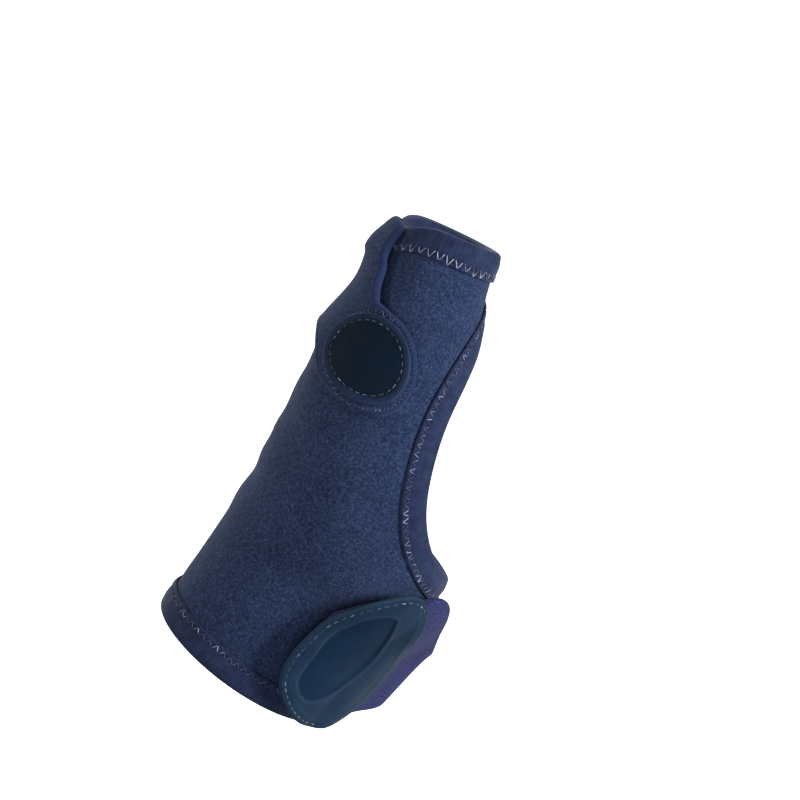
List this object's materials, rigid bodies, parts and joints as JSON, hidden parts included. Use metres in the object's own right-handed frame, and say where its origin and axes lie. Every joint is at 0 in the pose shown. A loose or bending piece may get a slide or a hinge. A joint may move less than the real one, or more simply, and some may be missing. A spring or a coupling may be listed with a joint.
{
  "type": "thumb spica splint",
  "caption": "Soft neoprene wrist and thumb splint in its worn form, with bound edges, a wrist strap and a thumb strap that end in moulded patches.",
  "frame": {"origin": "centre of the forearm opening, on the plane of its edge", "axes": "+Z along the forearm towards the thumb, -Y the side that faces the viewer, +X towards the back of the hand"},
  "size_m": [0.0868, 0.0745, 0.1333],
  "materials": {
    "neoprene": "brushed loop-faced neoprene laminate, navy, matt",
    "binding_tape": "smooth knitted edge tape, deeper blue",
    "strap_neoprene": "smooth neoprene strap, violet blue",
    "moulded_patch": "moulded soft plastic, satin, dark slate blue"
  },
  "bodies": {
    "root": {"sleeve": "neoprene", "forearm_binding": "binding_tape", "hand_binding": "binding_tape", "thumb_binding": "binding_tape", "wrist_strap": "strap_neoprene", "thumb_strap": "neoprene", "wrist_tab": "moulded_patch", "thumb_tab": "moulded_patch"}
  },
  "joints": []
}
